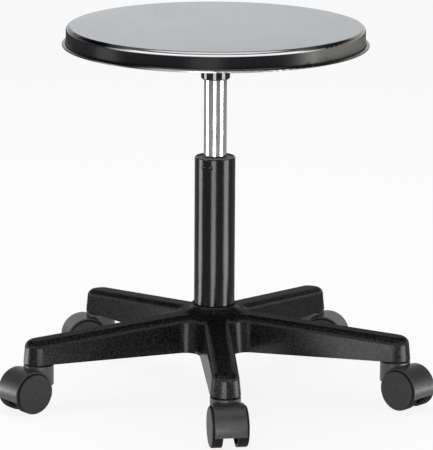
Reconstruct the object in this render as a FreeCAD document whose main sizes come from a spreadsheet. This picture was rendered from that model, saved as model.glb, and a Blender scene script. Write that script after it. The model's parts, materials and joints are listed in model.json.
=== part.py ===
import FreeCAD, Part
import math
import os
import Sketcher

# A machinist's stool: a round pressed steel seat on a gas lift column, carried by a
# moulded five arm base on twin wheel casters. Lengths are in millimetres, angles in degrees.
# The origin lies on the floor under the column's axis. Z points up, and -Y is the front.

doc = FreeCAD.newDocument("machinist_stool")
sheet = doc.addObject("Spreadsheet::Sheet", "sizes")
kept = []


class Size:
    """A size that carries its number and the sheet formula that gives it."""

    def __init__(self, number, formula):
        self.number = float(number)
        self.formula = formula

    def joined(self, sign, number, other):
        return Size(number, f"({self.formula} {sign} {other.formula})")

    def __add__(self, other):
        other = as_size(other)
        return self.joined("+", self.number + other.number, other)

    def __radd__(self, other):
        return as_size(other) + self

    def __sub__(self, other):
        other = as_size(other)
        return self.joined("-", self.number - other.number, other)

    def __rsub__(self, other):
        return as_size(other) - self

    def __mul__(self, other):
        other = as_size(other)
        return self.joined("*", self.number * other.number, other)

    def __rmul__(self, other):
        return as_size(other) * self

    def __truediv__(self, other):
        other = as_size(other)
        return self.joined("/", self.number / other.number, other)

    def __neg__(self):
        return as_size(0) - self


def as_size(value):
    return value if isinstance(value, Size) else Size(value, repr(float(value)))


def size(name, number, note):
    """Write a driving dimension into the sheet and return it."""
    row = size.rows = getattr(size, "rows", 0) + 1
    sheet.set(f"A{row}", note)
    sheet.set(f"B{row}", str(number))
    sheet.setAlias(f"B{row}", name)
    return Size(number, f"sizes.{name}")


def sine(angle):
    """The sine of a size in degrees."""
    return Size(math.sin(math.radians(angle.number)), f"sin({angle.formula} * 1 deg)")


def cosine(angle):
    """The cosine of a size in degrees."""
    return Size(math.cos(math.radians(angle.number)), f"cos({angle.formula} * 1 deg)")


def angle_of(rise, run):
    """The slope of a rise over a run, in degrees."""
    number = math.degrees(math.atan2(rise.number, run.number))
    return Size(number, f"(atan({rise.formula} / {run.formula}) / 1 deg)")


def root(square):
    """The square root of a size."""
    return Size(math.sqrt(square.number), f"sqrt({square.formula})")


def spun(x, y, angle):
    """A point turned about the origin."""
    return (x * cosine(angle) - y * sine(angle), x * sine(angle) + y * cosine(angle))


# Fits between pieces
running_gap = size("running_gap", 0.05, "radial play of a shaft that turns or slides")
press_gap = size("press_gap", 0.02, "radial play of parts that are pressed together")
free_gap = size("free_gap", 0.3, "clear space between parts that pass each other")
bolt_gap = size("bolt_gap", 0.3, "radial play of a bolt in its hole")

# Casters
wheel_radius = size("wheel_radius", 25, "radius of a wheel")
wheel_width = size("wheel_width", 13.2, "width of a wheel up to its outer edge")
wheel_dome = size("wheel_dome", 0.6, "height of the wheel face's dome")
wheel_edge = size("wheel_edge", 2.6, "rounding of a wheel's outer edge")
wheel_rim = size("wheel_rim", 3, "thickness of a wheel's rim")
wheel_face = size("wheel_face", 2.8, "thickness of a wheel's face")
wheel_boss = size("wheel_boss", 3.45, "wall of a wheel's boss")
wheel_play = size("wheel_play", 0.15, "side play of a wheel's boss against the web")
rim_gap = size("rim_gap", 0.4, "space between a wheel's rim and the web")
spoke_thickness = size("spoke_thickness", 1.8, "thickness of a wheel's inner spokes")
spoke_depth = size("spoke_depth", 7, "depth of a wheel's inner spokes")
spoke_count = 6
axle_radius = size("axle_radius", 3, "radius of a wheel axle")
trail = size("trail", 20.5, "caster stem to wheel axle")
hood_gap = size("hood_gap", 0.6, "space between a wheel and the hood over it")
hood_wall = size("hood_wall", 1.6, "wall of a caster's hood")
hood_half = size("hood_half", 19.2, "half the width of a caster's hood")
hood_edge = size("hood_edge", 1, "rounding of the hood's rims")
hood_drop = size("hood_drop", 7.5, "hood's lower edge below the wheel axle")
web_half = size("web_half", 8.8, "half the width of the caster's web")
core_half = size("core_half", 5.6, "half the width of the cored out part of the web")
core_rise = size("core_rise", 11, "cored out part of the web above the wheel axle")
core_wall = size("core_wall", 5.2, "web left in front of its cored out part")
core_start = size("core_start", 9, "wheel axle to the cored out part of the web")
neck_radius = size("neck_radius", 18.5, "radius of the caster's neck")
neck_above_hood = size("neck_above_hood", 3.8, "top of the neck above the hood")
neck_low = size("neck_low", 6, "bottom of the neck above the wheel axle")
neck_edge = size("neck_edge", 0.8, "chamfer round the top of the neck")
bevel_reach = size("bevel_reach", 5, "depth of the bevel under the neck at its bottom")
bevel_rise = size("bevel_rise", 9, "height of the bevel under the neck")
knee_reach = size("knee_reach", 2, "depth of the neck's bevel at its knee")
knee_rise = size("knee_rise", 3, "height of the knee in the neck's bevel")
stem_radius = size("stem_radius", 5.5, "radius of a caster stem in the arm")
stem_step = size("stem_step", 1, "step down to a caster stem's foot in the neck")
stem_foot = size("stem_foot", 21, "depth of a caster stem in its neck")
stem_height = size("stem_height", 22, "height of a caster stem in the arm")
stem_flange = size("stem_flange", 2.5, "rim of a caster stem's flange")
stem_chamfer = size("stem_chamfer", 1.2, "chamfer of a caster stem's ends")
flange_height = size("flange_height", 1.7, "thickness of a caster stem's flange")
grip_ring_height = size("grip_ring_height", 2.6, "height of a stem's grip ring")
grip_ring_depth = size("grip_ring_depth", 0.9, "depth of the groove for the grip ring")
grip_ring_drop = size("grip_ring_drop", 5.4, "stem's top to the grip ring")
grip_ring_split = size("grip_ring_split", 2.5, "gap in a grip ring")

# Star base
arm_reach = size("arm_reach", 229.5, "column axis to the caster stems")
first_arm_angle = size("first_arm_angle", -86.5, "direction of the front arm")
arm_tip_radius = size("arm_tip_radius", 18.6, "radius of an arm's rounded tip, at its underside")
arm_root_width = size("arm_root_width", 20.4, "half an arm's width where it meets the hub")
arm_root_reach = size("arm_root_reach", 50, "where the half width at the root is taken")
arm_draft = size("arm_draft", 5.5, "draft of the arms' sides")
tip_roof = size("tip_roof", 6.6, "top of an arm above the caster stem")
arm_rise = size("arm_rise", 16.4, "top of an arm at the hub above its top at the tip")
arm_edge = size("arm_edge", 9, "rounding of an arm's upper edges")
web_fillet = size("web_fillet", 18, "radius between two neighbouring arms")
collar_rise = size("collar_rise", 10, "top of the hub's collar above the arms")
collar_wall = size("collar_wall", 3.2, "wall of the hub's collar round the tube")
collar_sweep = size("collar_sweep", 13.8, "reach of the sweep from the collar into the arms")
collar_lead = size("collar_lead", 3.2, "top of the collar to the end of the tube's taper")
base_wall = size("base_wall", 4, "wall of the moulded base")
hub_wall = size("hub_wall", 2.8, "hub's inner socket past the collar, all round")
rib_thickness = size("rib_thickness", 3, "thickness of the base's ribs")
rib_start = size("rib_start", 62, "column axis to the first cross rib")
rib_pitch = size("rib_pitch", 36, "distance between cross ribs")
stem_socket_wall = size("stem_socket_wall", 4.5, "wall of a caster socket")
arm_count = 5
cross_rib_count = 4

# Outer tube and its thrust bearing
tube_radius = size("tube_radius", 25, "outside radius of the outer tube")
tube_wall = size("tube_wall", 1.8, "wall of the outer tube")
tube_below = size("tube_below", 8, "outer tube below the arms' underside")
tube_taper = size("tube_taper", 1.35, "radius lost over the outer tube's lower taper")
tube_rim = size("tube_rim", 0.9, "chamfer round the outer tube's top")
stake_radius = size("stake_radius", 3.2, "radius of the ball that stakes the guide bush")
stake_depth = size("stake_depth", 1.3, "depth of a stake mark")
stake_drop = size("stake_drop", 10.5, "stake marks below the tube's top")
stake_angle_a = size("stake_angle_a", -125.7, "direction of the first stake mark")
stake_angle_b = size("stake_angle_b", -101.5, "direction of the second stake mark")
bush_height = size("bush_height", 96, "height of the guide bush")
bush_recess = size("bush_recess", 1, "guide bush below the tube's top")
base_disc_height = size("base_disc_height", 3, "thickness of the tube's end disc")
thrust_washer_height = size("thrust_washer_height", 1.2, "thickness of a thrust washer")
thrust_washer_radius = size("thrust_washer_radius", 13, "outside radius of a thrust washer")
ball_radius = size("ball_radius", 2, "radius of a thrust ball")
ball_circle = size("ball_circle", 8.8, "radius of the circle of thrust balls")
ball_space = size("ball_space", 1.5, "space between thrust balls")

# Piston, its rod and the rubber buffer
rod_radius = size("rod_radius", 5, "radius of the piston rod")
rod_step = size("rod_step", 1, "step to the piston rod's turned-down ends")
rod_chamfer = size("rod_chamfer", 0.5, "chamfer of the piston rod's tip")
rod_tail = size("rod_tail", 2, "piston rod below its clip")
piston_height = size("piston_height", 14, "height of the piston")
piston_rest = size("piston_rest", 4, "piston above the rod seal, column fully up")
ring_height = size("ring_height", 2.4, "height of the piston's sealing ring")
ring_depth = size("ring_depth", 2, "radial depth of the piston's sealing ring")
buffer_radius = size("buffer_radius", 12, "outside radius of the rubber buffer")
buffer_height = size("buffer_height", 12, "height of the rubber buffer")
waist_depth = size("waist_depth", 2.4, "depth of the rubber buffer's waist")
waist_height = size("waist_height", 3.6, "height of the rubber buffer's waist")
clip_rim = size("clip_rim", 3.5, "width of the retaining clip's ring")
clip_height = size("clip_height", 1.2, "thickness of the retaining clip")
clip_groove_depth = size("clip_groove_depth", 0.5, "depth of the retaining clip's groove")
clip_mouth_width = size("clip_mouth_width", 4.2, "gap in the retaining clip")

# Gas cylinder
lift_stroke = size("lift_stroke", 90, "travel of the gas lift")
stroke_spare = size("stroke_spare", 3.55, "cylinder above the buffer, column fully down")
cylinder_radius = size("cylinder_radius", 14, "outside radius of the chromed cylinder")
cylinder_wall = size("cylinder_wall", 1.6, "wall of the chromed cylinder")
cylinder_length = size("cylinder_length", 264, "length of the chromed cylinder")
cylinder_crimp = size("cylinder_crimp", 1.5, "thickness of the cylinder's turned-in ends")
taper_length = size("taper_length", 33, "length of the cylinder's upper taper")
taper_drop = size("taper_drop", 0.8, "radius lost over the upper taper")
socket_lead = size("socket_lead", 1.5, "taper socket below the start of the taper")
socket_wall = size("socket_wall", 3.8, "wall of the taper socket at its mouth")
socket_chamfer = size("socket_chamfer", 1.8, "chamfer round the taper socket's mouth")
socket_clear = size("socket_clear", 6.5, "socket above the outer tube, column fully down")
gland_height = size("gland_height", 15, "height of the cylinder's gland")
seal_height = size("seal_height", 4, "height of the rod seal")
pressure_radius = size("pressure_radius", 10.4, "outside radius of the pressure tube")
pressure_wall = size("pressure_wall", 1, "wall of the pressure tube")
valve_block_height = size("valve_block_height", 28, "height of the valve block")
cavity_roof = size("cavity_roof", 4, "valve block above its cavity")
pin_radius = size("pin_radius", 3, "radius of the valve pin's button end")
pin_collar = size("pin_collar", 1.4, "step from the valve pin to its collar")
pin_collar_height = size("pin_collar_height", 4, "height of the valve pin's collar")
pin_stem_step = size("pin_stem_step", 1, "step from the valve pin to its stem")
pin_spare = size("pin_spare", 1.45, "valve pin above the cylinder when pressed")
cavity_spare = size("cavity_spare", 0.65, "room under the valve pin's collar when pressed")

# Lever
lever_travel = size("lever_travel", 6, "angle that the lever turns through")
lever_radius = size("lever_radius", 4, "radius of the lever's rod")
lever_arm = size("lever_arm", 34, "lever pivot behind the column's axis")
lever_reach = size("lever_reach", 172, "lever's end behind the column's axis")
lever_head_room = size("lever_head_room", 0.5, "lever's eye under the mounting plate")
lever_finger_room = size("lever_finger_room", 2.5, "pulled paddle under the seat's lip")
lever_level = size("lever_level", 8, "level run of the lever behind the mechanism box")
lever_bend = size("lever_bend", 14, "radius of the lever's bends")
tongue_height = size("tongue_height", 5, "thickness of the lever's flattened tongue")
tongue_width = size("tongue_width", 10, "width of the lever's flattened tongue")
tongue_corner = size("tongue_corner", 2.5, "rounding of the tongue's front corners")
tongue_length = size("tongue_length", 26, "length of the lever's flattened tongue")
tongue_past = size("tongue_past", 6, "tongue past the column's axis")
pivot_radius = size("pivot_radius", 2.5, "radius of the lever's pivot pin")
pivot_head_rim = size("pivot_head_rim", 2.5, "rim of the pivot pin's heads")
pivot_head = size("pivot_head", 2, "height of the pivot pin's heads")
lever_bush_wall = size("lever_bush_wall", 1.45, "wall of the lever's cross bush")
lever_bush_play = size("lever_bush_play", 1.5, "side play of the lever's cross bush")
lever_eye_wall = size("lever_eye_wall", 2.2, "wall of the lever's eye round the bush")
lever_eye_width = size("lever_eye_width", 14, "width of the lever's eye")
grip_length = size("grip_length", 46, "length of the lever's paddle")
grip_width = size("grip_width", 22, "width of the lever's paddle")
grip_wall = size("grip_wall", 1.5, "wall of the paddle over the lever's rod")
grip_corner = size("grip_corner", 7.3, "corner radius of the lever's paddle")
grip_end = size("grip_end", 7.3, "solid end of the paddle past the lever's rod")
grip_edge = size("grip_edge", 3, "rounding of the lever's paddle")
slot_gap = size("slot_gap", 3, "side space of the lever in the mechanism box's slot")

# Under the seat
box_length = size("box_length", 62, "mechanism box, side to side")
box_front = size("box_front", 36, "mechanism box, column axis to its front wall's outside")
box_past_pin = size("box_past_pin", 16, "mechanism box behind the lever's pivot")
box_height = size("box_height", 25, "height of the mechanism box")
box_wall = size("box_wall", 2.5, "wall of the mechanism box")
box_corner = size("box_corner", 8, "outside corner radius of the mechanism box")
plate_thickness = size("plate_thickness", 3, "thickness of the mounting plate")
plate_margin_x = size("plate_margin_x", 19, "bolts to the mounting plate's sides")
plate_margin_y = size("plate_margin_y", 17, "bolts to the mounting plate's front and back")
plate_corner = size("plate_corner", 12, "corner radius of the mounting plate")
bolt_spacing_x = size("bolt_spacing_x", 112, "seat bolts, side to side")
bolt_spacing_y = size("bolt_spacing_y", 96, "seat bolts, front to back")
bolt_radius = size("bolt_radius", 3, "radius of a seat bolt")
bolt_past = size("bolt_past", 0.9, "seat bolt past its weld nut")
bolt_head_width = size("bolt_head_width", 10, "seat bolt's head across flats")
bolt_head_height = size("bolt_head_height", 4, "height of a seat bolt's head")
nut_width = size("nut_width", 10, "weld nut across flats")
nut_height = size("nut_height", 5, "height of a weld nut")
washer_rim = size("washer_rim", 2.6, "width of a spring washer's ring")
washer_height = size("washer_height", 1.6, "thickness of a spring washer")
washer_split = size("washer_split", 1.2, "gap in a spring washer")
channel_height = size("channel_height", 12.3, "height of a stiffening channel")
channel_width = size("channel_width", 28, "inside width of a stiffening channel")
channel_flange = size("channel_flange", 13, "width of a stiffening channel's flange")
channel_sheet = size("channel_sheet", 1.5, "thickness of a stiffening channel")
channel_end = size("channel_end", 20, "channel's corner to the skirt, front to back")

# Seat pan
pan_radius = size("pan_radius", 182.7, "radius of the seat's skirt, outside")
pan_sheet = size("pan_sheet", 1.2, "thickness of the seat's sheet")
pan_corner = size("pan_corner", 5.5, "outside radius where the top turns into the skirt")
pan_depth = size("pan_depth", 24, "height of the seat from lip to top")
lip_reach = size("lip_reach", 4.8, "lip's outer edge past the skirt")
lip_bend = size("lip_bend", 1, "inside radius of the bend from the skirt into the lip")
hem_space = size("hem_space", 0.8, "space inside the lip's folded hem")
hem_mouth = size("hem_mouth", 1, "space between the hem's cut edge and the skirt")

# Caster directions as they stand in the rest pose: arm, where its wheels trail to
casters = [
    ("front", size("trail_front", -81, "trail direction of the front caster")),
    ("right", size("trail_right", -42, "trail direction of the right caster")),
    ("rear_right", size("trail_rear_right", -14, "trail direction of the rear right caster")),
    ("rear_left", size("trail_rear_left", 194, "trail direction of the rear left caster")),
    ("left", size("trail_left", 219, "trail direction of the left caster")),
]
doc.recompute()


# Heights and radii that follow, from the floor up: caster, base, column, lever, seat
wheel_inner = web_half + rim_gap
wheel_outer = wheel_inner + wheel_width
hood_radius = wheel_radius + hood_gap + hood_wall
hood_bottom = wheel_radius - hood_drop
neck_top = wheel_radius + hood_radius + neck_above_hood
flange_bottom = neck_top + free_gap
arm_underside = flange_bottom + flange_height
stem_top = arm_underside + stem_height
socket_top = stem_top + free_gap
stem_foot_radius = stem_radius - stem_step
arm_tip_top = stem_top + tip_roof
arm_root_top = arm_tip_top + arm_rise
hub_top = arm_root_top + collar_rise
hub_bore = tube_radius + press_gap
collar_radius = tube_radius + collar_wall
tube_bottom = arm_underside - tube_below
tube_bore = tube_radius - tube_wall
lower_bore = tube_bore - tube_taper
disc_top = tube_bottom + base_disc_height
lower_washer_top = disc_top + thrust_washer_height
upper_washer_bottom = lower_washer_top + ball_radius * 2 + running_gap
rod_shoulder = upper_washer_bottom + thrust_washer_height
rod_neck = rod_radius - rod_step
cylinder_bottom = rod_shoulder + buffer_height + lift_stroke + stroke_spare
cylinder_top = cylinder_bottom + cylinder_length
cylinder_bore = cylinder_radius - cylinder_wall
cylinder_taper_start = cylinder_top - taper_length
socket_bottom = cylinder_taper_start - socket_lead
socket_radius = cylinder_radius + socket_wall
tube_top = socket_bottom - lift_stroke - socket_clear
gland_bottom = cylinder_bottom + cylinder_crimp
seal_bottom = gland_bottom + gland_height
seal_top = seal_bottom + seal_height
piston_bottom = seal_top + piston_rest
piston_top = piston_bottom + piston_height
block_top = cylinder_top - cylinder_crimp
block_bottom = block_top - valve_block_height
block_radius = cylinder_bore - taper_drop
pin_press = lever_arm * sine(lever_travel)
pin_stem_radius = pin_radius - pin_stem_step
pin_top = cylinder_top + pin_press + pin_spare
tongue_bottom = pin_top + free_gap
lever_height = tongue_bottom + tongue_height / 2
lever_bush_radius = pivot_radius + running_gap + lever_bush_wall
lever_eye_radius = lever_bush_radius + lever_eye_wall
plate_under = lever_height + lever_eye_radius + lever_head_room
channel_bottom = plate_under + plate_thickness
pan_under = channel_bottom + channel_height
seat_height = pan_under + pan_sheet
pan_bottom = seat_height - pan_depth
box_bottom = plate_under - box_height
box_back = lever_arm + box_past_pin
grip_height = (lever_radius + press_gap + grip_wall) * 2
paddle_swing = (lever_reach + grip_end - lever_arm) * sine(lever_travel)
lever_low = pan_bottom - lever_finger_room - paddle_swing - grip_height / 2


def new_body(label):
    body = doc.addObject("PartDesign::Body", label)
    body.Label = label
    return body


def keep(piece):
    """Count a finished piece among those that are written out."""
    kept.append(piece)
    return piece


def new_sketch(body, role, name, offset=None):
    """A sketch on one of the body's origin planes, moved along its normal by an offset."""
    plane = [feature for feature in body.Origin.OriginFeatures if feature.Role == role][0]
    sketch = body.newObject("Sketcher::SketchObject", f"{body.Name}_{name}")
    sketch.AttachmentSupport = [(plane, "")]
    sketch.MapMode = "FlatFace"
    if offset is not None:
        sketch.setExpression("AttachmentOffset.Base.z", as_size(offset).formula)
    return sketch


def fix(sketch, kind, geometry, end, value):
    """Add a dimension to a sketch and tie it to the sheet where it isn't a plain number."""
    value = as_size(value)
    end = [] if end is None else [end]
    number = sketch.addConstraint(Sketcher.Constraint(kind, geometry, *end, value.number))
    if "sizes." in value.formula:
        sketch.setExpression(f"Constraints[{number}]", value.formula)


def arc_between(start, end, radius, turn):
    """The arc from start to end that turns left or right with the radius."""
    chord = end - start
    reach = math.sqrt(max(radius ** 2 - (chord.Length / 2) ** 2, 0))
    side = FreeCAD.Vector(-chord.y, chord.x, 0) / chord.Length
    sign = 1 if turn == "left" else -1
    centre = (start + end) / 2 + side * reach * sign
    angles = [math.atan2(point.y - centre.y, point.x - centre.x) for point in (start, end)]
    if turn == "right":
        angles.reverse()
    circle = Part.Circle(centre, FreeCAD.Vector(0, 0, 1), radius)
    return Part.ArcOfCircle(circle, angles[0], angles[1])


def draw(sketch, corners):
    """Draw a closed wire through corners (x, y), or (x, y, radius, turn) where an arc follows."""
    first = sketch.GeometryCount
    points = [FreeCAD.Vector(as_size(c[0]).number, as_size(c[1]).number, 0) for c in corners]
    ends = []
    for index, corner in enumerate(corners):
        start = points[index]
        end = points[(index + 1) % len(points)]
        if len(corner) == 2:
            sketch.addGeometry(Part.LineSegment(start, end), False)
            ends.append((1, 2))
        else:
            arc = arc_between(start, end, as_size(corner[2]).number, corner[3])
            sketch.addGeometry(arc, False)
            ends.append((1, 2) if corner[3] == "left" else (2, 1))
    for index, corner in enumerate(corners):
        before = (index - 1) % len(corners)
        meets = (first + before, ends[before][1], first + index, ends[index][0])
        sketch.addConstraint(Sketcher.Constraint("Coincident", *meets))
        fix(sketch, "DistanceX", first + index, ends[index][0], corner[0])
        fix(sketch, "DistanceY", first + index, ends[index][0], corner[1])
        if len(corner) > 2:
            fix(sketch, "Radius", first + index, None, corner[2])


def draw_circle(sketch, x, y, radius):
    index = sketch.GeometryCount
    centre = FreeCAD.Vector(as_size(x).number, as_size(y).number, 0)
    circle = Part.Circle(centre, FreeCAD.Vector(0, 0, 1), as_size(radius).number)
    sketch.addGeometry(circle, False)
    fix(sketch, "DistanceX", index, 3, x)
    fix(sketch, "DistanceY", index, 3, y)
    fix(sketch, "Radius", index, None, radius)


def draw_box(sketch, left, right, low, high):
    draw(sketch, [(left, low), (right, low), (right, high), (left, high)])


def draw_rounded_box(sketch, left, right, low, high, corner):
    """A rectangle with quarter round corners."""
    draw(sketch, [
        (left + corner, low), (right - corner, low, corner, "left"),
        (right, low + corner), (right, high - corner, corner, "left"),
        (right - corner, high), (left + corner, high, corner, "left"),
        (left, high - corner), (left, low + corner, corner, "left"),
    ])


def draw_hexagon(sketch, x, y, across):
    """A hexagon measured across its flats, with two flats square to Y."""
    half = across / 2
    corner = across / math.sqrt(3)
    draw(sketch, [
        (x + corner, y), (x + corner / 2, y + half), (x - corner / 2, y + half),
        (x - corner, y), (x - corner / 2, y - half), (x + corner / 2, y - half),
    ])


def pad(body, sketch, length, side="One side", taper=None, back=False):
    feature = body.newObject("PartDesign::Pad", f"{sketch.Name}_pad")
    feature.Profile = sketch
    feature.SideType = side
    feature.Reversed = back
    feature.setExpression("Length", as_size(length).formula)
    if taper is not None:
        feature.setExpression("TaperAngle", as_size(taper).formula)
    return feature


def pocket(body, sketch, length, side="One side", back=False):
    feature = body.newObject("PartDesign::Pocket", f"{sketch.Name}_pocket")
    feature.Profile = sketch
    feature.SideType = side
    feature.Reversed = back
    feature.setExpression("Length", as_size(length).formula)
    return feature


def turn(body, sketch, kind="Revolution", axis="V_Axis"):
    """Turn a sketch about its own vertical or horizontal axis."""
    feature = body.newObject(f"PartDesign::{kind}", f"{sketch.Name}_turn")
    feature.Profile = sketch
    feature.ReferenceAxis = (sketch, [axis])
    feature.Angle = 360
    return feature


def pattern(body, original, plane_role, count):
    """Repeat a feature round the axis square to an origin plane."""
    axis_role = {"XY_Plane": "Z_Axis", "XZ_Plane": "Y_Axis", "YZ_Plane": "X_Axis"}[plane_role]
    axis = [feature for feature in body.Origin.OriginFeatures if feature.Role == axis_role][0]
    feature = body.newObject("PartDesign::PolarPattern", f"{original.Name}_round")
    feature.Originals = [original]
    feature.Axis = (axis, [""])
    feature.Angle = 360
    feature.Occurrences = count
    body.Tip = feature
    return feature


def turned(label, corners, plane="XZ_Plane"):
    """A body of revolution. On XZ a corner is (radius, height), on XY it is (radius, side)."""
    body = new_body(label)
    sketch = new_sketch(body, plane, "profile")
    draw(sketch, corners)
    turn(body, sketch)
    return body


def ring(label, inner, outer, low, high):
    """A plain turned ring between two radii and two heights."""
    return turned(label, [(inner, low), (outer, low), (outer, high), (inner, high)])


def tie_place(piece, x=0, y=0, z=0):
    """Place a piece by sizes, without turning it."""
    for axis, value in (("x", x), ("y", y), ("z", z)):
        piece.setExpression(f"Placement.Base.{axis}", as_size(value).formula)


def join(label, pieces):
    """Make one named piece of several separate solids."""
    group = doc.addObject("Part::Compound", label)
    group.Label = label
    group.Links = pieces
    return group


# Seat pan: pressed sheet steel, its skirt turned out into a lip with a folded hem

skirt_inside = pan_radius - pan_sheet
corner_inside = pan_corner - pan_sheet
bend_outside = lip_bend + pan_sheet
fold_inside = hem_space / 2
fold_outside = fold_inside + pan_sheet
lip_radius = pan_radius + lip_reach
fold_middle = lip_radius - fold_outside
fold_height = pan_bottom + fold_outside
lip_top = fold_height + fold_outside
seat_pan = keep(turned("seat_pan", [
    (0, pan_under),
    (skirt_inside - corner_inside, pan_under, corner_inside, "right"),
    (skirt_inside, pan_under - corner_inside),
    (skirt_inside, pan_bottom + bend_outside, bend_outside, "left"),
    (skirt_inside + bend_outside, pan_bottom),
    (fold_middle, pan_bottom, fold_outside, "left"),
    (lip_radius, fold_height, fold_outside, "left"),
    (fold_middle, lip_top),
    (pan_radius + hem_mouth, lip_top),
    (pan_radius + hem_mouth, lip_top - pan_sheet),
    (fold_middle, lip_top - pan_sheet, fold_inside, "right"),
    (fold_middle + fold_inside, fold_height, fold_inside, "right"),
    (fold_middle, pan_bottom + pan_sheet),
    (pan_radius + lip_bend, pan_bottom + pan_sheet, lip_bend, "right"),
    (pan_radius, pan_bottom + pan_sheet + lip_bend),
    (pan_radius, seat_height - pan_corner, pan_corner, "left"),
    (pan_radius - pan_corner, seat_height),
    (0, seat_height),
]))


# Two hat shaped channels, spot welded under the pan, front to back

channel_x = bolt_spacing_x / 2


def stiffener(label, x):
    body = new_body(label)
    sketch = new_sketch(body, "XZ_Plane", "hat")
    inside = channel_width / 2
    outside = inside + channel_sheet
    brim = outside + channel_flange
    top = pan_under
    corner_reach = channel_x + brim
    length = root(skirt_inside * skirt_inside - corner_reach * corner_reach) * 2 - channel_end * 2
    draw(sketch, [
        (-brim, top - channel_sheet), (-outside, top - channel_sheet),
        (-outside, channel_bottom), (outside, channel_bottom),
        (outside, top - channel_sheet), (brim, top - channel_sheet), (brim, top),
        (inside, top), (inside, channel_bottom + channel_sheet),
        (-inside, channel_bottom + channel_sheet), (-inside, top), (-brim, top),
    ])
    pad(body, sketch, length, side="Symmetric")
    holes = new_sketch(body, "XY_Plane", "holes", channel_bottom)
    for y in (-bolt_spacing_y / 2, bolt_spacing_y / 2):
        draw_circle(holes, 0, y, bolt_radius + bolt_gap)
    pocket(body, holes, channel_sheet, back=True)
    tie_place(body, x=x)
    return keep(body)


stiffener_left = stiffener("stiffener_left", -channel_x)
stiffener_right = stiffener("stiffener_right", channel_x)


# Mounting plate with its four bolts, spring washers and weld nuts

mount_plate = keep(new_body("mount_plate"))
plate_outline = new_sketch(mount_plate, "XY_Plane", "outline", plate_under)
half_length = bolt_spacing_x / 2 + plate_margin_x
half_width = bolt_spacing_y / 2 + plate_margin_y
draw_rounded_box(plate_outline, -half_length, half_length, -half_width, half_width, plate_corner)
bolt_places = [
    (bolt_spacing_x * sign_x / 2, bolt_spacing_y * sign_y / 2)
    for sign_x in (-1, 1)
    for sign_y in (-1, 1)
]
for bolt_x, bolt_y in bolt_places:
    draw_circle(plate_outline, bolt_x, bolt_y, bolt_radius + bolt_gap)
pad(mount_plate, plate_outline, plate_thickness)


def weld_nut(number, x, y):
    body = new_body(f"weld_nut_{number}")
    sketch = new_sketch(body, "XY_Plane", "flats", channel_bottom + channel_sheet)
    draw_hexagon(sketch, x, y, nut_width)
    draw_circle(sketch, x, y, bolt_radius + press_gap)
    pad(body, sketch, nut_height)
    return body


def seat_bolt(number, x, y):
    body = new_body(f"seat_bolt_{number}")
    head_top = plate_under - washer_height
    head = new_sketch(body, "XY_Plane", "head", head_top - bolt_head_height)
    draw_hexagon(head, x, y, bolt_head_width)
    pad(body, head, bolt_head_height)
    shank = new_sketch(body, "XY_Plane", "shank", head_top)
    draw_circle(shank, x, y, bolt_radius)
    pad(body, shank, bolt_length)
    return body


def spring_washer(number, x, y):
    body = new_body(f"spring_washer_{number}")
    sketch = new_sketch(body, "XY_Plane", "ring", plate_under - washer_height)
    draw_circle(sketch, x, y, washer_radius)
    draw_circle(sketch, x, y, bolt_radius + bolt_gap)
    pad(body, sketch, washer_height)
    split = new_sketch(body, "XY_Plane", "split", plate_under - washer_height)
    draw_box(split, x, x + washer_radius * 2, y - washer_split / 2, y + washer_split / 2)
    pocket(body, split, washer_height, back=True)
    return body


washer_radius = bolt_radius + bolt_gap + washer_rim
bolt_length = washer_height + plate_thickness + channel_sheet + nut_height + bolt_past
numbered = [(number + 1, x, y) for number, (x, y) in enumerate(bolt_places)]
weld_nuts = keep(join("weld_nuts", [weld_nut(*place) for place in numbered]))
seat_bolts = keep(join("seat_bolts", [seat_bolt(*place) for place in numbered]))
spring_washers = keep(join("spring_washers", [spring_washer(*place) for place in numbered]))


# Mechanism box: a pressed tray welded under the plate, with holes for socket, pivot and lever

slot_half = lever_radius + slot_gap
mechanism_box = keep(new_body("mechanism_box"))
tray = new_sketch(mechanism_box, "XY_Plane", "tray", box_bottom)
half_box = box_length / 2
draw_rounded_box(tray, -half_box, half_box, -box_front, box_back, box_corner)
pad(mechanism_box, tray, box_height)
hollow = new_sketch(mechanism_box, "XY_Plane", "hollow", box_bottom + box_wall)
draw_rounded_box(
    hollow, box_wall - half_box, half_box - box_wall,
    box_wall - box_front, box_back - box_wall, box_corner - box_wall,
)
pocket(mechanism_box, hollow, box_height - box_wall, back=True)
socket_hole = new_sketch(mechanism_box, "XY_Plane", "socket_hole", box_bottom)
draw_circle(socket_hole, 0, 0, socket_radius + press_gap)
pocket(mechanism_box, socket_hole, box_wall, back=True)
pivot_holes = new_sketch(mechanism_box, "YZ_Plane", "pivot_holes")
draw_circle(pivot_holes, lever_arm, lever_height, pivot_radius + press_gap)
pocket(mechanism_box, pivot_holes, box_length, side="Symmetric")
lever_slot = new_sketch(mechanism_box, "XZ_Plane", "lever_slot", -box_back)
draw_box(lever_slot, -slot_half, slot_half, box_bottom + box_wall, plate_under)
pocket(mechanism_box, lever_slot, box_wall * 2, side="Symmetric")


# Taper socket, welded through the floor of the box, and the parts of the gas cylinder

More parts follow.
